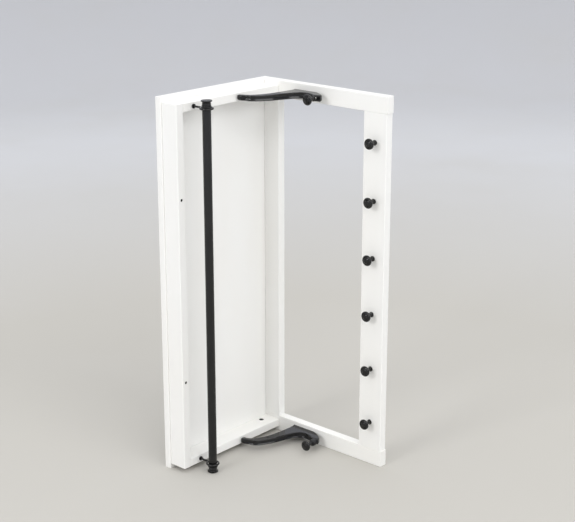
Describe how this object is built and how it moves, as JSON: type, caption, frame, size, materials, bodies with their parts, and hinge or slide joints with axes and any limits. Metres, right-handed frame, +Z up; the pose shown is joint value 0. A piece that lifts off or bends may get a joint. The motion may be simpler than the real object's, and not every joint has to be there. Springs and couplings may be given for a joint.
{
  "type": "wall-mounted hat and coat shelf",
  "caption": "White wall shelf on an open back frame with a coat-knob rail, cast S-shaped corner brackets and a black hanging rail held in two eye screws.",
  "frame": {"origin": "middle of the part's bounding box, on the surface that it stands on when it is stood on its left end", "axes": "+Z runs up along the shelf's length, which is the right-hand direction when it hangs on a wall and a person faces it. +Y points into the wall. +X points down the wall, so the shelf's top faces -X, its front faces -Y and the coat knobs point along -Y"},
  "size_m": [0.368, 0.34, 0.85],
  "materials": {
    "white_paint": "white satin paint on wood",
    "black_cast": "satin black paint on cast iron",
    "black_metal": "semi-gloss black paint",
    "zinc_steel": "bright zinc plating",
    "dowel_wood": "plain beech"
  },
  "bodies": {
    "frame": {"top_board": "white_paint", "front_apron": "white_paint", "end_board_left": "white_paint", "end_board_right": "white_paint", "stile_left": "white_paint", "stile_right": "white_paint", "top_rail": "white_paint", "knob_rail": "white_paint", "bracket_left": "black_cast", "bracket_right": "black_cast", "rail_knob_1": "black_metal", "rail_knob_2": "black_metal", "rail_knob_3": "black_metal", "rail_knob_4": "black_metal", "rail_knob_5": "black_metal", "rail_knob_6": "black_metal", "bracket_knob_left": "black_metal", "bracket_knob_right": "black_metal", "eye_screw_left": "black_metal", "eye_screw_right": "black_metal", "knob_screws": "zinc_steel", "bracket_knob_studs": "zinc_steel", "bracket_screws": "zinc_steel", "bracket_tip_pins": "zinc_steel", "cam_bolts": "zinc_steel", "hanger_plate_left": "zinc_steel", "hanger_plate_right": "zinc_steel", "hanger_screws": "zinc_steel", "cam_locks": "black_metal", "apron_screws": "black_metal", "frame_dowels": "dowel_wood", "shelf_dowels": "dowel_wood"},
    "rail_end": {"finial_left": "black_metal"},
    "rail": {"rail_rod": "black_metal", "finial_right": "black_metal"}
  },
  "joints": [
    {"name": "rail_end_play", "type": "slide", "parent": "frame", "child": "rail_end", "axis": [0, 0, 1], "range_m": [0, 0.0024]},
    {"name": "rail_spin", "type": "hinge", "parent": "rail_end", "child": "rail", "pos_m": [-0.085, -0.117, 0.425], "axis": [0, 0, 1], "continuous": true}
  ]
}
